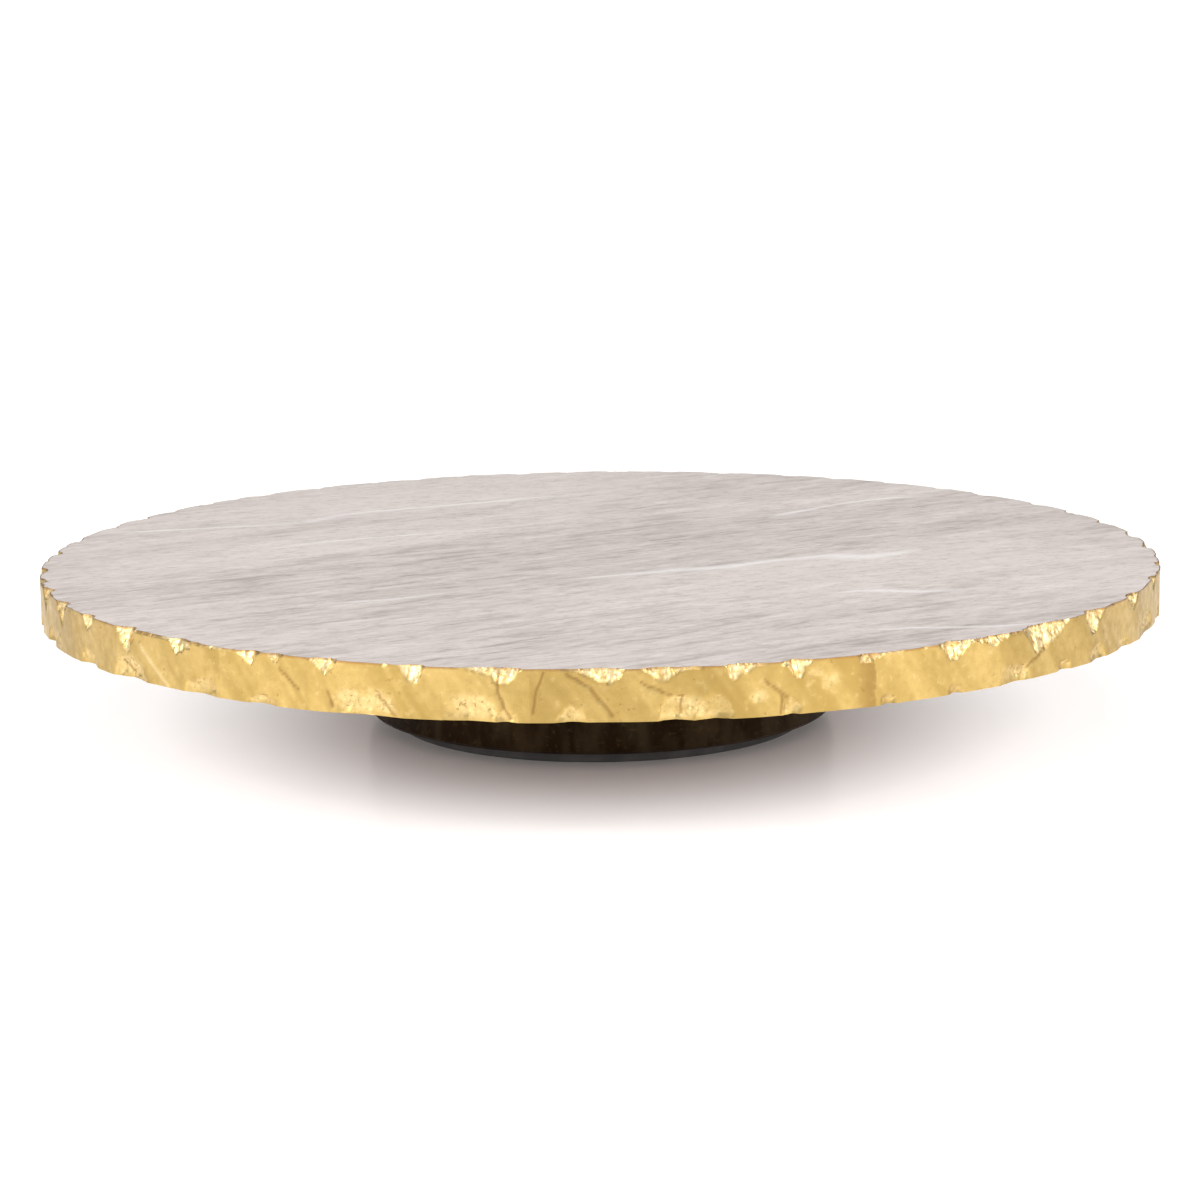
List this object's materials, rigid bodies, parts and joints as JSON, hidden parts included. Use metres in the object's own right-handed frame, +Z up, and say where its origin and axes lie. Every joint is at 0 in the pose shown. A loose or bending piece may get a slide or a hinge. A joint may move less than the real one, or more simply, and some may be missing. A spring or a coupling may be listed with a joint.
{
  "type": "lazy susan turntable",
  "caption": "Round marble serving turntable with a chipped, gilded rim, turning on a hidden aluminium ball bearing ring over a dark round wooden base",
  "frame": {"origin": "on the turning axis, at the underside of the rubber pad, which stands on the table", "axes": "+Z is up and is the turning axis; +X passes through a base screw, and +Y is level and passes through the bearing's loading plug"},
  "size_m": [0.356, 0.356, 0.053],
  "materials": {
    "marble": "honed to a soft sheen, pale greige with fine parallel veins",
    "gold_leaf": "satin gold gilding over rough sawn and chipped stone",
    "dark_wood": "near-black brown stain under a satin lacquer",
    "rubber": "matt dark grey moulded rubber",
    "ring_aluminium": "turned and clear anodised",
    "plug_aluminium": "turned, plain",
    "cage_nylon": "natural nylon",
    "ball_steel": "polished bearing steel",
    "zinc_steel": "bright zinc plated",
    "insert_brass": "machined"
  },
  "bodies": {
    "base": {"anti_slip_pad": "rubber", "base_disc": "dark_wood", "base_washers": "zinc_steel", "base_screws": "zinc_steel", "fixed_ring": "ring_aluminium"},
    "ball_set": {"cage_strip_1": "cage_nylon", "cage_strip_2": "cage_nylon", "cage_strip_3": "cage_nylon", "cage_strip_4": "cage_nylon", "ball_01": "ball_steel", "ball_02": "ball_steel", "ball_03": "ball_steel", "ball_04": "ball_steel", "ball_05": "ball_steel", "ball_06": "ball_steel", "ball_07": "ball_steel", "ball_08": "ball_steel", "ball_09": "ball_steel", "ball_10": "ball_steel", "ball_11": "ball_steel", "ball_12": "ball_steel", "ball_13": "ball_steel", "ball_14": "ball_steel", "ball_15": "ball_steel", "ball_16": "ball_steel", "ball_17": "ball_steel", "ball_18": "ball_steel", "ball_19": "ball_steel", "ball_20": "ball_steel"},
    "turntable": {"turning_ring": "ring_aluminium", "loading_plug": "plug_aluminium", "slab_screws": "zinc_steel", "slab_inserts": "insert_brass", "marble_slab": "marble", "gold_edge": "gold_leaf"}
  },
  "joints": [
    {"name": "turntable_spin", "type": "hinge", "parent": "base", "child": "turntable", "pos_m": [0, 0, 0.03325], "axis": [0, 0, 1], "continuous": true},
    {"name": "ball_orbit", "type": "hinge", "parent": "base", "child": "ball_set", "pos_m": [0, 0, 0.03325], "axis": [0, 0, 1], "continuous": true}
  ],
  "couplings": [
    {"joint": "ball_orbit", "follows": "turntable_spin", "ratio": 0.5158}
  ]
}
